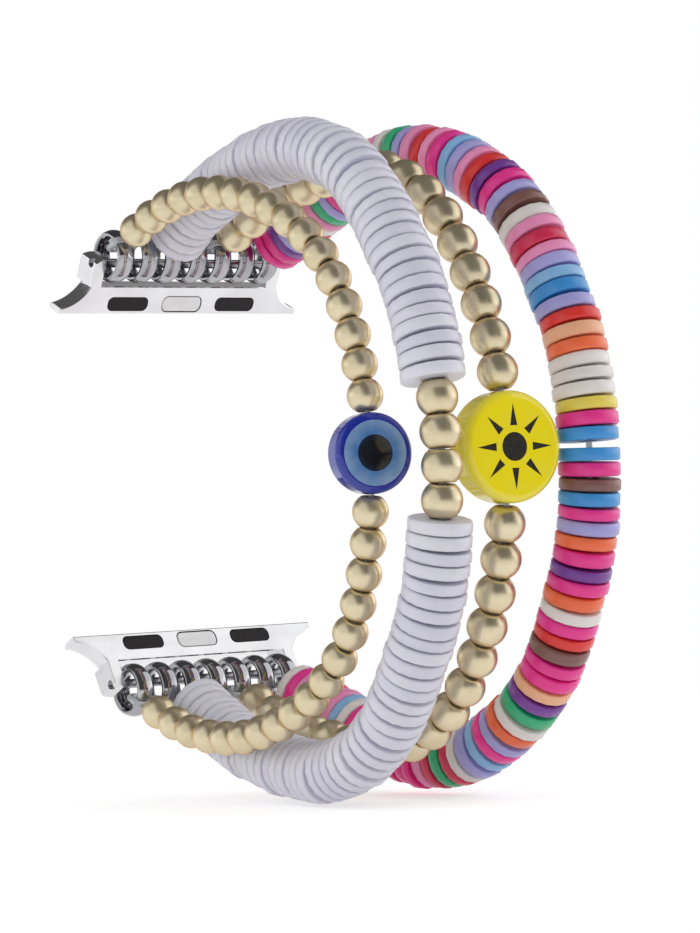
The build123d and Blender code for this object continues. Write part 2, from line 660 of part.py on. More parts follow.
# Return spring in the button's bore, standing on the plate
spring_foot = face_plane.offset(-PLATE_SEAT + PAD_GAP + BUTTON_SPRING_WIRE / 2)
with BuildPart() as top_button_spring:
    with BuildLine():
        coil = Helix(
            BUTTON_SPRING_LENGTH / BUTTON_SPRING_TURNS,
            BUTTON_SPRING_LENGTH,
            (BUTTON_SPRING_DIAMETER - BUTTON_SPRING_WIRE) / 2,
            center=spring_foot.origin,
            direction=face_out,
        )
    with BuildSketch(Plane(origin=coil @ 0, z_dir=coil % 0)):
        Circle(BUTTON_SPRING_WIRE / 2)
    sweep(path=coil, is_frenet=True)

# Back plate pressed into its seat behind the button
with BuildPart() as top_back_plate:
    with BuildSketch(face_plane.offset(-PLATE_SEAT)):
        Rectangle(PLATE_LENGTH, PLATE_HEIGHT)
    extrude(amount=-PLATE_DEPTH)

# Bar pressed through both ears, its ends a little below their outer sides
with BuildPart() as top_bar:
    with BuildSketch(section_plane):
        with Locations((-BAR_BELOW_FACE, BAR_RISE)):
            Circle(BAR_DIAMETER / 2)
    extrude(amount=fork_outer - BAR_RECESS, both=True)


def mirrored(piece):
    """The same piece of the bottom adapter."""
    with BuildPart() as twin:
        mirror(piece.part, about=Plane.XY)
    return twin


nodes = {
    "top_adapter_body": top_adapter_body,
    "top_pads": top_pads,
    "top_latch_button": top_latch_button,
    "top_button_spring": top_button_spring,
    "top_back_plate": top_back_plate,
    "top_bar": top_bar,
    "bottom_adapter_body": mirrored(top_adapter_body),
    "bottom_pads": mirrored(top_pads),
    "bottom_latch_button": mirrored(top_latch_button),
    "bottom_button_spring": mirrored(top_button_spring),
    "bottom_back_plate": mirrored(top_back_plate),
    "bottom_bar": mirrored(top_bar),
    "rings_near_gold": rings_near_gold,
    "rings_white": rings_white,
    "rings_far_gold": rings_far_gold,
    "rings_colour": rings_colour,
    "top_spacer_ring_near": top_spacer_near,
    "top_spacer_ring_middle": top_spacer_middle,
    "top_spacer_ring_far": top_spacer_far,
    "bottom_spacer_ring_near": bottom_spacer_near,
    "bottom_spacer_ring_middle": bottom_spacer_middle,
    "bottom_spacer_ring_far": bottom_spacer_far,
    "cord_near_gold": cord_near_gold,
    "cord_white": cord_white,
    "cord_far_gold": cord_far_gold,
    "cord_colour": cord_colour,
    "near_gold_beads_upper": near_beads_upper,
    "near_gold_beads_lower": near_beads_lower,
    "far_gold_beads_upper": far_beads_upper,
    "far_gold_beads_lower": far_beads_lower,
    "middle_gold_beads": middle_beads,
    "white_discs_upper": white_discs_upper,
    "white_discs_lower": white_discs_lower,
    "eye_bead": eye_bead,
    "eye_irises": eye_irises,
    "eye_pupils": eye_pupils,
    "charm_bead": charm_bead,
    "charm_suns": charm_suns,
}
nodes.update({tint + "_discs": discs for tint, discs in colour_discs.items()})
for name, node in nodes.items():
    node.part.label = name
    export_step(node.part, "parts/" + name + ".step")
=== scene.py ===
# A beaded watch band: four strands of beads and clay discs looped between two metal lug adapters.
import json
from math import cos, pi, sin

import bpy
import numpy as np
from mathutils import Matrix, Vector

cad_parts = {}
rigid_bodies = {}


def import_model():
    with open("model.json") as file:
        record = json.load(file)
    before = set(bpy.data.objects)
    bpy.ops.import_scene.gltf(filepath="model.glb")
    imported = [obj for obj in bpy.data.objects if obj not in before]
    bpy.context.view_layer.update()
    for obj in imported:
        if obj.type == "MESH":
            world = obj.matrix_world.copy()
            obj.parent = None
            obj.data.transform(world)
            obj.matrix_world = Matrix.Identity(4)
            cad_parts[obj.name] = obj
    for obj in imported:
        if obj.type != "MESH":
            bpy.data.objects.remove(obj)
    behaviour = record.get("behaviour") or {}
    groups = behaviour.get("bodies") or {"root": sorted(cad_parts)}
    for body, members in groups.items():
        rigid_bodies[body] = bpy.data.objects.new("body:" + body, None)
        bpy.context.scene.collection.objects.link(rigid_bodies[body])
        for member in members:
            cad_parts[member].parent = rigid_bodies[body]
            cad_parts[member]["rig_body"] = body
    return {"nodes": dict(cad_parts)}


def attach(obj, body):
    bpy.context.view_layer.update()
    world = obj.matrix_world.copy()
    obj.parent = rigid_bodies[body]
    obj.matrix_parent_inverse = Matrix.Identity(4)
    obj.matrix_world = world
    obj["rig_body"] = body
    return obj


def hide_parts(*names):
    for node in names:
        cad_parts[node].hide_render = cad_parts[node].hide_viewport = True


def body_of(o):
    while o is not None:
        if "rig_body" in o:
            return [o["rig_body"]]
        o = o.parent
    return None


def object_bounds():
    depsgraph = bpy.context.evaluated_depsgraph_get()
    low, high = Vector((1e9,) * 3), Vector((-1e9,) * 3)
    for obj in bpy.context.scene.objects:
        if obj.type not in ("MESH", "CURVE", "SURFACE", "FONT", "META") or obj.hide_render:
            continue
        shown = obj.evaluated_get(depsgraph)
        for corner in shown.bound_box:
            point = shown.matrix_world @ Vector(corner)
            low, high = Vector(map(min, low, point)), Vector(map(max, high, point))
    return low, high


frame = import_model()
cad_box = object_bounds()
nodes = frame["nodes"]


# Studio: the band stands on a pale floor before a white backdrop, between a large soft lamp at its
# left and a smaller one at its right. The room is dark in front and above, which the metal mirrors.
CAMERA_TARGET = Vector((0, 0.002146, -0.000645))
CAMERA_DISTANCE = 0.3385
CAMERA_TURN = 0.6408
CAMERA_RISE = -0.0210
CAMERA_ROLL = -0.0471
FOCAL_PIXELS = 3560
IMAGE_HEIGHT = 933
SENSOR_HEIGHT = 36
CLIP_START = 0.01
SOFT_BOX_DISTANCE = 0.5
LEFT_BOX_TURN = -1.05
LEFT_BOX_RISE = 0.15
LEFT_BOX_SIZE = 0.9
LEFT_BOX_POWER = 1.65
RIGHT_BOX_TURN = 1.83
RIGHT_BOX_RISE = 0.35
RIGHT_BOX_SIZE = 0.68
RIGHT_BOX_POWER = 1.5
ROOM_LIGHT = 0.53
ROOM_DARK_LIGHT = 0.09
ROOM_BRIGHT_LIGHT = 0.8
FRONT_FADE = (-0.6, 0.5)
TOP_FADE = (0.15, 0.5)
FLOOR_SIZE = 6
FLOOR_GAP = 0.0002
FLOOR_COLOUR = (0.82, 0.82, 0.82, 1)
FLOOR_LIFT = 0.5
FLOOR_BOUNCE = 0.2
FLOOR_FADE = (0.07, 0.2)
WHITE = (1, 1, 1, 1)

towards_camera = Vector((
    cos(CAMERA_RISE) * cos(CAMERA_TURN),
    -cos(CAMERA_RISE) * sin(CAMERA_TURN),
    sin(CAMERA_RISE),
))
level_right = Vector((sin(CAMERA_TURN), cos(CAMERA_TURN), 0))
level_up = towards_camera.cross(level_right)
camera_right = level_right * cos(CAMERA_ROLL) + level_up * sin(CAMERA_ROLL)
camera_up = level_up * cos(CAMERA_ROLL) - level_right * sin(CAMERA_ROLL)


def turned_to(place, right, up, back):
    """World matrix of a camera or lamp at a place, whose own X, Y and Z point right, up and back."""
    turn = Matrix((right, up, back)).transposed()
    return Matrix.Translation(place) @ turn.to_4x4()


lens = bpy.data.cameras.new("camera")
lens.sensor_fit = "VERTICAL"
lens.sensor_height = SENSOR_HEIGHT
lens.lens = FOCAL_PIXELS / IMAGE_HEIGHT * SENSOR_HEIGHT
lens.clip_start = CLIP_START
camera = bpy.data.objects.new("camera", lens)
camera.matrix_world = turned_to(
    CAMERA_TARGET + towards_camera * CAMERA_DISTANCE, camera_right, camera_up, towards_camera
)
bpy.context.collection.objects.link(camera)
bpy.context.scene.camera = camera
bpy.context.scene.view_settings.view_transform = "Standard"


def soft_box(name, turn, rise, size, power):
    """A square area lamp that faces the band, turned to the right of the camera and risen above it."""
    light = bpy.data.lights.new(name, "AREA")
    light.size = size
    light.energy = power
    lamp = bpy.data.objects.new(name, light)
    back = (towards_camera * cos(turn) + level_right * sin(turn) + Vector((0, 0, rise))).normalized()
    side = back.orthogonal().normalized()
    lamp.matrix_world = turned_to(CAMERA_TARGET + back * SOFT_BOX_DISTANCE, side, back.cross(side), back)
    bpy.context.collection.objects.link(lamp)


soft_box("left_soft_box", LEFT_BOX_TURN, LEFT_BOX_RISE, LEFT_BOX_SIZE, LEFT_BOX_POWER)
soft_box("right_soft_box", RIGHT_BOX_TURN, RIGHT_BOX_RISE, RIGHT_BOX_SIZE, RIGHT_BOX_POWER)


def add_node(tree, kind, sockets=None, **settings):
    """Adds a shader node. Each named socket takes a plain value or another node's output."""
    node = tree.nodes.new(kind)
    for key, value in settings.items():
        setattr(node, key, value)
    for key, value in (sockets or {}).items():
        if isinstance(value, bpy.types.NodeSocket):
            tree.links.new(value, node.inputs[key])
        else:
            node.inputs[key].default_value = value
    return node


def combined(tree, operation, first, second, clamp=False):
    """The sum, product or larger one of two values."""
    node = add_node(tree, "ShaderNodeMath", {0: first, 1: second}, operation=operation, use_clamp=clamp)
    return node.outputs[0]


def spread(tree, value, low, high, start=0.3, stop=0.7, ease="LINEAR"):
    """A value mapped from the range start to stop, where noise mostly lies, on the range low to high."""
    limits = {"Value": value, "From Min": start, "From Max": stop, "To Min": low, "To Max": high}
    return add_node(tree, "ShaderNodeMapRange", limits, interpolation_type=ease).outputs[0]


def sharp_rays(tree):
    """Two values: one for camera, mirror and glass rays, and one for mirror rays alone.

    Both are zero for the rays that light matt surfaces."""
    path = add_node(tree, "ShaderNodeLightPath")
    mirror = path.outputs["Is Glossy Ray"]
    either = combined(tree, "MAXIMUM", path.outputs["Is Camera Ray"], mirror)
    return combined(tree, "MAXIMUM", either, path.outputs["Is Transmission Ray"]), mirror


room = bpy.data.worlds.new("room")
room.use_nodes = True
air = room.node_tree
bpy.context.scene.world = room
direction = add_node(air, "ShaderNodeTexCoord").outputs["Generated"]
level_front = Vector((towards_camera.x, towards_camera.y, 0)).normalized()
frontness = add_node(air, "ShaderNodeVectorMath", {0: direction, 1: level_front}, operation="DOT_PRODUCT")
height = add_node(air, "ShaderNodeSeparateXYZ", {0: direction})
behind = spread(air, frontness.outputs["Value"], 1, 0, *FRONT_FADE, ease="SMOOTHSTEP")
below = spread(air, height.outputs["Z"], 1, 0, *TOP_FADE, ease="SMOOTHSTEP")
mirrored = spread(air, combined(air, "MULTIPLY", behind, below), ROOM_DARK_LIGHT, ROOM_BRIGHT_LIGHT, 0, 1)
sharp, mirror = sharp_rays(air)
seen = add_node(air, "ShaderNodeMix", {0: mirror, 2: 1.0, 3: mirrored})
level = add_node(air, "ShaderNodeMix", {0: sharp, 2: ROOM_LIGHT, 3: seen.outputs[0]})
air.links.new(level.outputs[0], air.nodes["Background"].inputs["Strength"])
air.nodes["Background"].inputs["Color"].default_value = WHITE

floor_mesh = bpy.data.meshes.new("floor")
half_floor = FLOOR_SIZE / 2
floor_level = cad_box[0][2] - FLOOR_GAP
floor_corners = [(-half_floor, -half_floor, floor_level), (half_floor, -half_floor, floor_level),
                 (half_floor, half_floor, floor_level), (-half_floor, half_floor, floor_level)]
floor_mesh.from_pydata(floor_corners, [], [(0, 1, 2, 3)])
floor = bpy.data.objects.new("floor", floor_mesh)
bpy.context.collection.objects.link(floor)
paper = bpy.data.materials.new("floor_paper")
paper.use_nodes = True
tree = paper.node_tree
tree.nodes.clear()
sharp, mirror = sharp_rays(tree)
where = add_node(tree, "ShaderNodeTexCoord").outputs["Object"]
away = add_node(tree, "ShaderNodeVectorMath", {0: where}, operation="LENGTH").outputs["Value"]
far = combined(tree, "MULTIPLY", sharp, spread(tree, away, 0, 1, *FLOOR_FADE, ease="SMOOTHSTEP"))
brightness = spread(tree, mirror, 1, ROOM_BRIGHT_LIGHT, 0, 1)
lift = combined(tree, "MULTIPLY", spread(tree, sharp, FLOOR_BOUNCE, FLOOR_LIFT, 0, 1), brightness)
matt = add_node(tree, "ShaderNodeBsdfDiffuse", {"Color": FLOOR_COLOUR})
glow = add_node(tree, "ShaderNodeEmission", {"Color": WHITE, "Strength": lift})
near = add_node(tree, "ShaderNodeAddShader", {0: matt.outputs[0], 1: glow.outputs[0]})
white = add_node(tree, "ShaderNodeEmission", {"Color": WHITE, "Strength": brightness})
whole = add_node(tree, "ShaderNodeMixShader", {0: far, 1: near.outputs[0], 2: white.outputs[0]})
add_node(tree, "ShaderNodeOutputMaterial", {"Surface": whole.outputs[0]})
floor_mesh.materials.append(paper)


# Adapter bodies: one zinc casting at each end, polished and plated, with fine wiping marks along the
# rail. The rail slides into the watch case, and two ears hold the bar.
ADAPTER_COLOUR = (0.84, 0.84, 0.85, 1)
ADAPTER_SHADE_COLOUR = (0.74, 0.74, 0.76, 1)
ADAPTER_ROUGHNESS = (0.15, 0.26)
WIPING_SCALE = (900, 60, 900)
CAST_WAVE_SCALE = 220
CAST_WAVE_HEIGHT = 0.00002
NOISE_DETAIL = 3.0


def new_finish(name):
    """A new material, its node tree, its Principled shader and its Object coordinates."""
    material = bpy.data.materials.new(name)
    material.use_nodes = True
    tree = material.node_tree
    where = add_node(tree, "ShaderNodeTexCoord")
    return material, tree, tree.nodes["Principled BSDF"], where.outputs["Object"]


def settle(shader, **values):
    """Sets plain numbers and colours on the shader's sockets, with _ for the space in a socket's name."""
    for socket, value in values.items():
        shader.inputs[socket.replace("_", " ")].default_value = value


def noise(tree, where, scale):
    """Smooth noise from zero to one, at so many waves in a metre along each axis."""
    stretched = add_node(tree, "ShaderNodeMapping", {"Vector": where, "Scale": scale})
    sockets = {"Vector": stretched.outputs[0], "Scale": 1.0, "Detail": NOISE_DETAIL}
    return add_node(tree, "ShaderNodeTexNoise", sockets).outputs["Fac"]


def between(tree, share, first, second):
    """The colour at a share of the way between two colours."""
    return add_node(tree, "ShaderNodeMix", {0: share, 6: first, 7: second}, data_type="RGBA").outputs[2]


def raised(tree, shader, height, distance):
    """Bump on the shader from a height of zero to one, worth so many metres."""
    bump = add_node(tree, "ShaderNodeBump", {"Height": height, "Distance": distance, "Strength": 1.0})
    tree.links.new(bump.outputs[0], shader.inputs["Normal"])


def polished_metal(name, colour, shade, roughness, wiping, wave_scale, wave_height):
    """Bright metal: a slow change of tone, wiping marks in its gloss and a slightly wavy surface."""
    material, tree, shader, where = new_finish(name)
    tone = noise(tree, where, (wave_scale,) * 3)
    tree.links.new(between(tree, spread(tree, tone, 0, 1), colour, shade), shader.inputs["Base Color"])
    settle(shader, Metallic=1.0)
    tree.links.new(spread(tree, noise(tree, where, wiping), *roughness), shader.inputs["Roughness"])
    raised(tree, shader, tone, wave_height)
    return material


def dress(material, *names):
    """Gives CAD nodes their finish."""
    for name in names:
        for place in nodes[name].material_slots:
            place.material = material


dress(polished_metal("polished_casting", ADAPTER_COLOUR, ADAPTER_SHADE_COLOUR, ADAPTER_ROUGHNESS,
                     WIPING_SCALE, CAST_WAVE_SCALE, CAST_WAVE_HEIGHT),
      "top_adapter_body", "bottom_adapter_body")


# Bars, back plates and button springs: steel parts inside the adapters. The bar is drawn rod pressed
# through the ears, the plate is punched sheet, and the spring is drawn wire.
STEEL_COLOUR = (0.50, 0.50, 0.52, 1)
STEEL_SHADE_COLOUR = (0.30, 0.30, 0.32, 1)
STEEL_ROUGHNESS = (0.15, 0.3)
DRAWN_SCALE = (2500, 150, 2500)
dress(polished_metal("drawn_steel", STEEL_COLOUR, STEEL_SHADE_COLOUR, STEEL_ROUGHNESS, DRAWN_SCALE,
                     CAST_WAVE_SCALE, CAST_WAVE_HEIGHT),
      "top_bar", "bottom_bar", "top_back_plate", "bottom_back_plate",
      "top_button_spring", "bottom_button_spring")


# Pads: black rubber strips moulded with a fine grain, glued in the pockets of the wrist face. They keep
# the adapter from rattling in the watch case.
RUBBER_COLOUR = (0.012, 0.011, 0.012, 1)
RUBBER_WORN_COLOUR = (0.03, 0.027, 0.03, 1)
RUBBER_ROUGHNESS = 0.5
RUBBER_SPECULAR = 0.2
RUBBER_GRAIN_SCALE = (6000, 6000, 6000)
RUBBER_GRAIN_HEIGHT = 0.00001


def grained(name, colour, worn, roughness, specular, grain_scale, grain_height):
    """A dull skin whose colour and bumps follow one fine grain."""
    material, tree, shader, where = new_finish(name)
    grain = noise(tree, where, grain_scale)
    tree.links.new(between(tree, spread(tree, grain, 0, 1), colour, worn), shader.inputs["Base Color"])
    settle(shader, Roughness=roughness, Specular_IOR_Level=specular)
    raised(tree, shader, grain, grain_height)
    return material


dress(grained("pad_rubber", RUBBER_COLOUR, RUBBER_WORN_COLOUR, RUBBER_ROUGHNESS, RUBBER_SPECULAR,
              RUBBER_GRAIN_SCALE, RUBBER_GRAIN_HEIGHT),
      "top_pads", "bottom_pads")


# Latch buttons: pressed metal caps with a satin face brushed along their length, and a flange behind
# the wrist face that keeps them in. A spring pushes each one out.
BUTTON_COLOUR = (0.78, 0.78, 0.78, 1)
BUTTON_SHADE_COLOUR = (0.68, 0.68, 0.69, 1)
BUTTON_ROUGHNESS = (0.28, 0.42)
BRUSHING_SCALE = (9000, 300, 9000)
dress(polished_metal("brushed_button", BUTTON_COLOUR, BUTTON_SHADE_COLOUR, BUTTON_ROUGHNESS,
                     BRUSHING_SCALE, CAST_WAVE_SCALE, CAST_WAVE_HEIGHT),
      "top_latch_button", "bottom_latch_button")


# Rings: plump chromed rings that hang on the bars. Eight carry the strands' loops and six are loose
# spacers between them. They are cast, tumbled smooth and plated.
RING_COLOUR = (0.50, 0.50, 0.52, 1)
RING_SHADE_COLOUR = (0.36, 0.36, 0.39, 1)
RING_ROUGHNESS = (0.04, 0.12)
RING_TUMBLE_SCALE = (1500, 1500, 1500)
RING_STEPS_AROUND = 56
RING_STEPS_ACROSS = 13
RING_EDGE_SHARE = 4.5 / 5.25
RING_THROAT_EDGE_SHARE = 4.18 / 5.25
RING_BORE_SHARE = 3.3 / 5.25
MERGE_DIGITS = 8


def solids_of(node):
    """Centre, axis, half length and radius of every solid of a CAD node.

    Corners at one place are merged, and each solid is what its triangles join. The centre and the spread
    are those of the solid's surface, and the axis is the direction in which it spreads least."""
    mesh = nodes[node].data
    corners = np.empty(len(mesh.vertices) * 3)
    mesh.vertices.foreach_get("co", corners)
    triangles = np.empty(len(mesh.loops), int)
    mesh.loops.foreach_get("vertex_index", triangles)
    places, same = np.unique(np.round(corners.reshape(-1, 3), MERGE_DIGITS), axis=0, return_inverse=True)
    triangles = same.reshape(-1)[triangles].reshape(-1, 3)
    label = np.arange(len(places))
    settled = False
    while not settled:
        lowest = np.repeat(label[triangles].min(axis=1)[:, None], 3, axis=1)
        fresh = label.copy()
        np.minimum.at(fresh, triangles, lowest)
        fresh = fresh[fresh]
        settled = np.array_equal(fresh, label)
        label = fresh
    kinds, solid = np.unique(label, return_inverse=True)
    solid = solid.reshape(-1)
    count = len(kinds)
    points = places[triangles]
    area = np.linalg.norm(np.cross(points[:, 1] - points[:, 0], points[:, 2] - points[:, 0]), axis=1) / 2
    owner = solid[triangles[:, 0]]
    total = np.bincount(owner, area, count)
    centre = np.stack([np.bincount(owner, area * points[:, :, k].mean(axis=1), count) / total
                       for k in range(3)], axis=1)
    local = points - centre[owner][:, None]
    summed = local.sum(axis=1)
    second = np.einsum("tia,tib->tab", local, local) + np.einsum("ta,tb->tab", summed, summed)
    moment = np.zeros((count, 3, 3))
    np.add.at(moment, owner, second * area[:, None, None])
    axis = np.linalg.eigh(moment)[1][:, :, 0]
    axis *= np.where(axis[:, 2] < 0, -1, 1)[:, None]
    reach = places - centre[solid]
    along = np.einsum("pa,pa->p", reach, axis[solid])
    across = np.linalg.norm(reach - along[:, None] * axis[solid], axis=1)
    half = np.zeros(count)
    radius = np.zeros(count)
    np.maximum.at(half, solid, np.abs(along))
    np.maximum.at(radius, solid, across)
    return centre, axis, half, radius


def turned_pieces(name, centre, axis, along, radius, flat_bands=()):
    """Mesh of pieces turned on a lathe, as one object.

    The point at step j round piece i and point k of its profile is the piece's centre, plus its axis times
    along[i, j, k], plus the spoke at angle j times radius[i, j, k]. The profile closes on itself and runs
    up the axis on the outside. Bands of the profile that stay flat are named by their number. The UV runs
    once round each piece and once along its profile, and piece_tone is a number of each piece's own."""
    count, around, across = radius.shape
    helper = np.where(np.abs(axis[:, :1]) < 0.7, [[1.0, 0, 0]], [[0, 1.0, 0]])
    first = np.cross(axis, helper)
    first /= np.linalg.norm(first, axis=1)[:, None]
    second = np.cross(axis, first)
    angle = np.linspace(0, 2 * pi, around, endpoint=False)[None, :, None, None]
    spoke = first[:, None, None] * np.cos(angle) + second[:, None, None] * np.sin(angle)
    points = centre[:, None, None] + axis[:, None, None] * along[..., None] + spoke * radius[..., None]
    index = np.arange(count * around * across).reshape(count, around, across)
    beside = np.roll(index, -1, axis=1)
    quads = np.stack([index, beside, np.roll(beside, -1, axis=2), np.roll(index, -1, axis=2)], axis=-1)
    mesh = bpy.data.meshes.new(name)
    mesh.vertices.add(points.size // 3)
    mesh.vertices.foreach_set("co", points.ravel())
    mesh.loops.add(quads.size)
    mesh.loops.foreach_set("vertex_index", quads.ravel())
    mesh.polygons.add(quads.size // 4)
    mesh.polygons.foreach_set("loop_start", np.arange(0, quads.size, 4))
    smooth = np.ones((count, around, across), bool)
    smooth[:, :, list(flat_bands)] = False
    mesh.polygons.foreach_set("use_smooth", smooth.ravel())
    turn = np.arange(around)[None, :, None, None] + np.array([0, 1, 1, 0])
    rise = np.arange(across)[None, None, :, None] + np.array([0, 0, 1, 1])
    layer = mesh.uv_layers.new(name="round_and_across")
    uv = np.stack(np.broadcast_arrays(turn / around, rise / across, np.zeros((count, 1, 1, 1)))[:2], axis=-1)
    layer.data.foreach_set("uv", uv.ravel().astype(np.float32))
    piece_share = np.random.default_rng(count * around).random(count)
    tone = mesh.attributes.new("piece_tone", "FLOAT", "POINT")
    tone.data.foreach_set("value", np.repeat(piece_share, around * across).astype(np.float32))
    mesh.update()
    mesh.validate()
    piece = bpy.data.objects.new(name, mesh)
    bpy.context.collection.objects.link(piece)
    return piece


def hang(piece, material, node):
    """Gives a new piece its finish and the body of the CAD node it stands for."""
    piece.data.materials.append(material)
    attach(piece, body_of(nodes[node])[0])
    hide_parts(node)


def arc_rise(share, half, rise):
    """Height of an arc over its chord: the rise less the arc's radius, plus the root of the squared
    radius less the squared place along the chord. The share runs from -1 to 1 along the chord."""
    bow = (half ** 2 + rise ** 2) / (2 * rise)
    return rise - bow + np.sqrt(bow ** 2 - (half * share) ** 2)


ring_finish = polished_metal("ring_chrome", RING_COLOUR, RING_SHADE_COLOUR, RING_ROUGHNESS,
                             RING_TUMBLE_SCALE, CAST_WAVE_SCALE, CAST_WAVE_HEIGHT)
ring_nodes = ["rings_near_gold", "rings_white", "rings_far_gold", "rings_colour"]
for end in ("top", "bottom"):
    ring_nodes += [end + "_spacer_ring_" + place for place in ("near", "middle", "far")]
for node in ring_nodes:
    centre, axis, half, outer = solids_of(node)
    half = half[:, None, None]
    outer = outer[:, None, None]
    share = np.linspace(-1, 1, RING_STEPS_ACROSS)[None, None]
    edge = outer * RING_EDGE_SHARE
    crown = edge + arc_rise(share, half, outer - edge)
    throat_edge = outer * RING_THROAT_EDGE_SHARE
    throat = throat_edge - arc_rise(-share, half, throat_edge - outer * RING_BORE_SHARE)
    along = np.concatenate([half * share, half * -share], axis=2)
    radius = np.concatenate([crown, throat], axis=2)
    around = np.ones((1, RING_STEPS_AROUND, 1))
    ring = turned_pieces(node + "_plated", centre, axis, along * around, radius * around,
                         flat_bands=(RING_STEPS_ACROSS - 1, 2 * RING_STEPS_ACROSS - 1))
    hang(ring, ring_finish, node)


# Cords: clear elastic, one through each strand, knotted and looped round a ring at both ends. It is
# extruded, slightly milky, and shows in the open place at the front of the colour strand.
CORD_COLOUR = (0.86, 0.88, 0.90, 1)
CORD_CLOUD_COLOUR = (0.70, 0.73, 0.76, 1)
CORD_CLOUD_SCALE = (1200, 1200, 1200)
CORD_ROUGHNESS = (0.1, 0.25)
CORD_TRANSMISSION = 0.6
CORD_IOR = 1.45
material, tree, shader, where = new_finish("clear_elastic")
cloud = noise(tree, where, CORD_CLOUD_SCALE)
tree.links.new(between(tree, spread(tree, cloud, 0, 1), CORD_COLOUR, CORD_CLOUD_COLOUR),
               shader.inputs["Base Color"])
tree.links.new(spread(tree, cloud, *CORD_ROUGHNESS), shader.inputs["Roughness"])
settle(shader, Transmission_Weight=CORD_TRANSMISSION, IOR=CORD_IOR)
dress(material, "cord_near_gold", "cord_white", "cord_far_gold", "cord_colour")


# Gold beads: hollow brass balls, pale gold plated and polished, drilled through with a turned-in lip.
# The small ones run either side of the eye bead, the larger ones beside the charm and in the middle.
GOLD_COLOUR = (0.82, 0.725, 0.51, 1)
GOLD_SHADE_COLOUR = (0.74, 0.64, 0.42, 1)
GOLD_EDGE_COLOUR = (0.85, 0.62, 0.50, 1)
GOLD_METALLIC = 0.85
GOLD_ROUGHNESS = (0.27, 0.38)
GOLD_WIPING_SCALE = (1800, 1800, 500)
GOLD_DIMPLE_SCALE = 500
GOLD_DIMPLE_HEIGHT = 0.000008
BEAD_STEPS_AROUND = 28
BEAD_STEPS_ACROSS = 13
BEAD_HOLE_RADIUS = 0.0006
BEAD_LIP = 0.00012
gold_finish = polished_metal("gold_plate", GOLD_COLOUR, GOLD_SHADE_COLOUR, GOLD_ROUGHNESS,
                             GOLD_WIPING_SCALE, GOLD_DIMPLE_SCALE, GOLD_DIMPLE_HEIGHT)
settle(gold_finish.node_tree.nodes["Principled BSDF"], Specular_Tint=GOLD_EDGE_COLOUR, Metallic=GOLD_METALLIC)
for node in ("near_gold_beads_upper", "near_gold_beads_lower", "far_gold_beads_upper",
             "far_gold_beads_lower", "middle_gold_beads"):
    centre, axis, half, outer = solids_of(node)
    half = half[:, None, None]
    outer = outer[:, None, None]
    steepest = np.arcsin(np.minimum(half / outer, 1))
    lean = steepest * np.linspace(-1, 1, BEAD_STEPS_ACROSS)[None, None]
    lip_out = np.full_like(half, BEAD_HOLE_RADIUS + BEAD_LIP)
    lip_in = np.full_like(half, BEAD_HOLE_RADIUS)
    along = np.concatenate([outer * np.sin(lean), half, half - BEAD_LIP, BEAD_LIP - half, -half], axis=2)
    radius = np.concatenate([outer * np.cos(lean), lip_out, lip_in, lip_in, lip_out], axis=2)
    around = np.ones((1, BEAD_STEPS_AROUND, 1))
    beads = turned_pieces(node + "_plated", centre, axis, along * around, radius * around,
                          flat_bands=(BEAD_STEPS_ACROSS - 1, BEAD_STEPS_ACROSS + 3))
    hang(beads, gold_finish, node)


# White discs: polymer clay cut from a rolled tube and baked, so each one is a little out of round,
# with softened rims and a satin skin. They are threaded tightly, face to face.
WHITE_CLAY_COLOUR = (0.76, 0.755, 0.84, 1)
WHITE_CLAY_SHADE_COLOUR = (0.69, 0.68, 0.79, 1)
DISC_STEPS_AROUND = 16
DISC_HOLE_RADIUS = 0.00095
DISC_RIM_SHARE = 0.12
DISC_OVAL_SHARE = 0.010
DISC_LOBE_SHARE = 0.006
DISC_TILT = 0.016
CLAY_ROUGHNESS = (0.34, 0.5)
CLAY_GRAIN_SCALE = (2600, 2600, 2600)
CLAY_GRAIN_HEIGHT = 0.000012
CLAY_CLOUD_SCALE = (300, 300, 300)
CLAY_CLOUD_SHARE = 0.3
CLAY_SCATTER_WEIGHT = 0.5
CLAY_SCATTER_DEPTH = 0.0009
CLAY_SCATTER_TINT = (1.0, 0.95, 1.0)
CLAY_COAT = 0.4
CLAY_COAT_ROUGHNESS = 0.22


def clay(name, colour, shade):
    """Baked clay: each disc has its own tone between two colours, with soft clouds and a fine grain."""
    material, tree, shader, where = new_finish(name)
    tone = add_node(tree, "ShaderNodeAttribute", attribute_name="piece_tone").outputs["Fac"]
    cloud = spread(tree, noise(tree, where, CLAY_CLOUD_SCALE), -CLAY_CLOUD_SHARE, CLAY_CLOUD_SHARE)
    share = combined(tree, "ADD", tone, cloud, clamp=True)
    tree.links.new(between(tree, share, colour, shade), shader.inputs["Base Color"])
    grain = noise(tree, where, CLAY_GRAIN_SCALE)
    tree.links.new(spread(tree, grain, *CLAY_ROUGHNESS), shader.inputs["Roughness"])
    raised(tree, shader, grain, CLAY_GRAIN_HEIGHT)
    settle(shader, Subsurface_Weight=CLAY_SCATTER_WEIGHT, Subsurface_Scale=CLAY_SCATTER_DEPTH,
           Subsurface_Radius=CLAY_SCATTER_TINT, Coat_Weight=CLAY_COAT, Coat_Roughness=CLAY_COAT_ROUGHNESS)
    return material


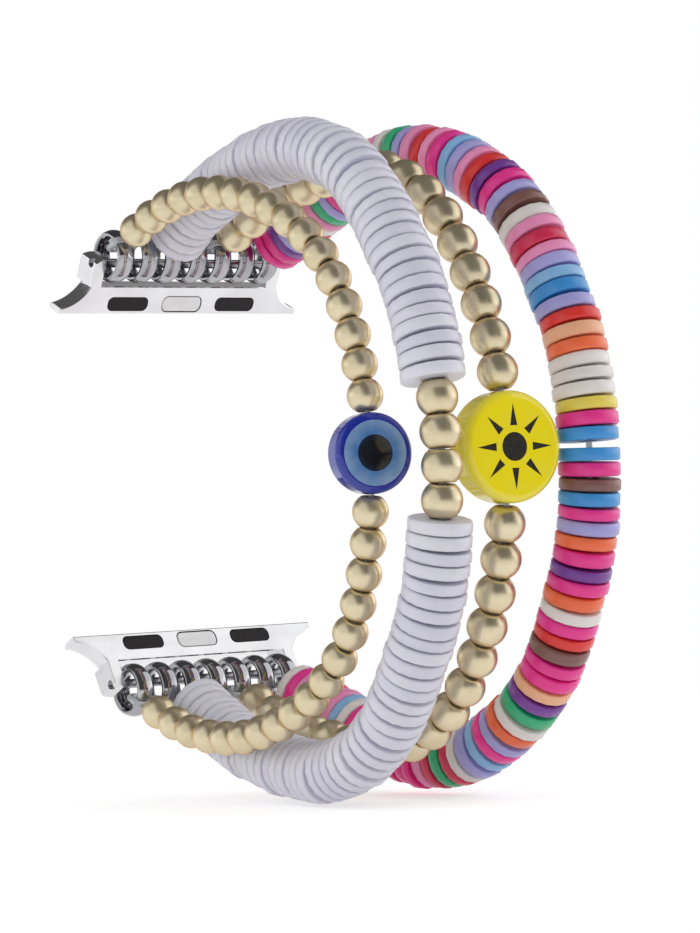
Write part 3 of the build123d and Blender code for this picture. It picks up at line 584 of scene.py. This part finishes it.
def clay_discs(node, material):
    """Discs in the places of a node's solids: a softened rim whose radius waves a little round each disc.

    Each disc leans by a small angle about its rim's innermost point, where it touches the next ones."""
    centre, axis, half, outer = solids_of(node)
    count = len(centre)
    chance = np.random.default_rng(count)
    lean = DISC_TILT * (2 * chance.random((count, 1)) - 1)
    inward = -centre * (1, 0, 1)
    inward -= axis * np.sum(inward * axis, axis=1, keepdims=True)
    inward /= np.linalg.norm(inward, axis=1, keepdims=True)
    centre = centre + axis * outer[:, None] * lean
    axis = axis + inward * lean
    axis /= np.linalg.norm(axis, axis=1, keepdims=True)
    angle = np.linspace(0, 2 * pi, DISC_STEPS_AROUND, endpoint=False)[None, :, None]
    start = chance.random((count, 2, 1, 1)) * 2 * pi
    oval = DISC_OVAL_SHARE * (np.cos(2 * angle + start[:, 0]) - 1)
    lobe = DISC_LOBE_SHARE * (np.cos(3 * angle + start[:, 1]) - 1)
    half = half[:, None, None]
    soft = half * 2 * DISC_RIM_SHARE
    hole = np.full_like(half, DISC_HOLE_RADIUS)
    wall = outer[:, None, None] * (1 + oval + lobe)
    flat = np.ones((1, DISC_STEPS_AROUND, 1))
    along = np.concatenate([-half, -half, soft - half, half - soft, half, half], axis=2) * flat
    radius = np.concatenate([hole * flat, wall - soft, wall, wall, wall - soft, hole * flat], axis=2)
    discs = turned_pieces(node + "_clay", centre, axis, along, radius, flat_bands=(0, 4, 5))
    hang(discs, material, node)


white_clay = clay("white_clay", WHITE_CLAY_COLOUR, WHITE_CLAY_SHADE_COLOUR)
for node in ("white_discs_upper", "white_discs_lower"):
    clay_discs(node, white_clay)


# Colour discs: the same baked clay in fourteen colours, cut a little smaller and threaded in no order.
# Each colour is dyed through, and its discs differ slightly in tone.
CLAY_TONES = {
    "blue": (56, 152, 222),
    "brown": (132, 88, 80),
    "cream": (236, 230, 226),
    "crimson": (218, 30, 84),
    "green": (40, 186, 128),
    "hot_pink": (242, 42, 150),
    "lavender": (172, 168, 226),
    "orange": (250, 112, 62),
    "peach": (248, 184, 146),
    "pink": (246, 150, 196),
    "purple": (122, 52, 156),
    "red": (230, 44, 40),
    "sky": (140, 190, 236),
    "yellow": (240, 218, 90),
}
CLAY_SHADE_SHARE = 0.88


def linear(shown, share=1.0):
    """The shader's colour for a colour as a screen shows it, darkened to a share of its light."""
    screen = np.array(shown) / 255
    light = np.where(screen <= 0.04045, screen / 12.92, ((screen + 0.055) / 1.055) ** 2.4)
    return (*(light * share), 1)


for tint, tone in CLAY_TONES.items():
    tint_clay = clay(tint + "_clay", linear(tone), linear(tone, CLAY_SHADE_SHARE))
    clay_discs(tint + "_discs", tint_clay)


# Eye bead: a cobalt glass disc drilled through its rim, with a pale blue ring and a black pupil melted
# into both faces, then tumbled smooth. It is a traditional ornament.
EYE_GLASS_COLOUR = (0.012, 0.028, 0.34, 1)
EYE_GLASS_RIM_COLOUR = (0.03, 0.045, 0.36, 1)
EYE_GLASS_FADE = (0.0031, 0.0040)
IRIS_INNER_COLOUR = (0.07, 0.20, 0.48, 1)
IRIS_OUTER_COLOUR = (0.24, 0.38, 0.62, 1)
IRIS_FADE = (0.0018, 0.0030)
PUPIL_COLOUR = (0.004, 0.004, 0.007, 1)
PUPIL_EDGE_COLOUR = (0.008, 0.02, 0.05, 1)
PUPIL_FADE = (0.0010, 0.0018)
GLASS_SWIRL_SCALE = (700, 700, 700)
GLASS_SWIRL_SHARE = 0.25
GLASS_ROUGHNESS = (0.05, 0.12)
GLASS_COAT = 0.35
GLASS_COAT_ROUGHNESS = 0.03
GLASS_IOR = 1.52


def from_axis(tree, where, centre, axis):
    """Distance of a point from an axis: the length of the cross product of its place and the axis."""
    local = add_node(tree, "ShaderNodeVectorMath", {0: where, 1: centre}, operation="SUBTRACT")
    cross = add_node(tree, "ShaderNodeVectorMath", {0: local.outputs[0], 1: axis}, operation="CROSS_PRODUCT")
    return add_node(tree, "ShaderNodeVectorMath", {0: cross.outputs[0]}, operation="LENGTH").outputs["Value"]


def melted_glass(name, node, first, second, fade):
    """Glossy glass with swirls, of one colour near a node's axis and another farther out.

    The fade is the pair of distances from the axis between which the colour changes."""
    material, tree, shader, where = new_finish(name)
    centre, axis, half, radius = solids_of(node)
    swirl = noise(tree, where, GLASS_SWIRL_SCALE)
    distance = from_axis(tree, where, tuple(centre.mean(axis=0)), tuple(axis[0]))
    share = spread(tree, distance, 0, 1, *fade)
    shift = spread(tree, swirl, -GLASS_SWIRL_SHARE, GLASS_SWIRL_SHARE)
    mixed = combined(tree, "ADD", share, shift, clamp=True)
    tree.links.new(between(tree, mixed, first, second), shader.inputs["Base Color"])
    tree.links.new(spread(tree, swirl, *GLASS_ROUGHNESS), shader.inputs["Roughness"])
    settle(shader, Coat_Weight=GLASS_COAT, Coat_Roughness=GLASS_COAT_ROUGHNESS, IOR=GLASS_IOR)
    return material


dress(melted_glass("cobalt_glass", "eye_bead", EYE_GLASS_COLOUR, EYE_GLASS_RIM_COLOUR, EYE_GLASS_FADE),
      "eye_bead")
dress(melted_glass("iris_glass", "eye_bead", IRIS_INNER_COLOUR, IRIS_OUTER_COLOUR, IRIS_FADE),
      "eye_irises")
dress(melted_glass("pupil_glass", "eye_bead", PUPIL_COLOUR, PUPIL_EDGE_COLOUR, PUPIL_FADE),
      "eye_pupils")


# Charm bead: a flat acrylic disc in lemon yellow, drilled through its rim, with a sun printed in black
# on both faces. The moulded disc is glossy, a little cloudy, and paler towards its rim.
CHARM_COLOUR = (0.95, 0.79, 0.010, 1)
CHARM_RIM_COLOUR = (0.86, 0.76, 0.08, 1)
CHARM_FADE = (0.0043, 0.0053)
INK_COLOUR = (0.012, 0.010, 0.008, 1)
INK_THIN_COLOUR = (0.035, 0.030, 0.018, 1)
INK_ROUGHNESS = 0.35
INK_SPECULAR = 0.25
INK_GRAIN_SCALE = (3500, 3500, 3500)
INK_GRAIN_HEIGHT = 0.000012
dress(melted_glass("yellow_acrylic", "charm_bead", CHARM_COLOUR, CHARM_RIM_COLOUR, CHARM_FADE),
      "charm_bead")
dress(grained("black_ink", INK_COLOUR, INK_THIN_COLOUR, INK_ROUGHNESS, INK_SPECULAR, INK_GRAIN_SCALE,
              INK_GRAIN_HEIGHT),
      "charm_suns")
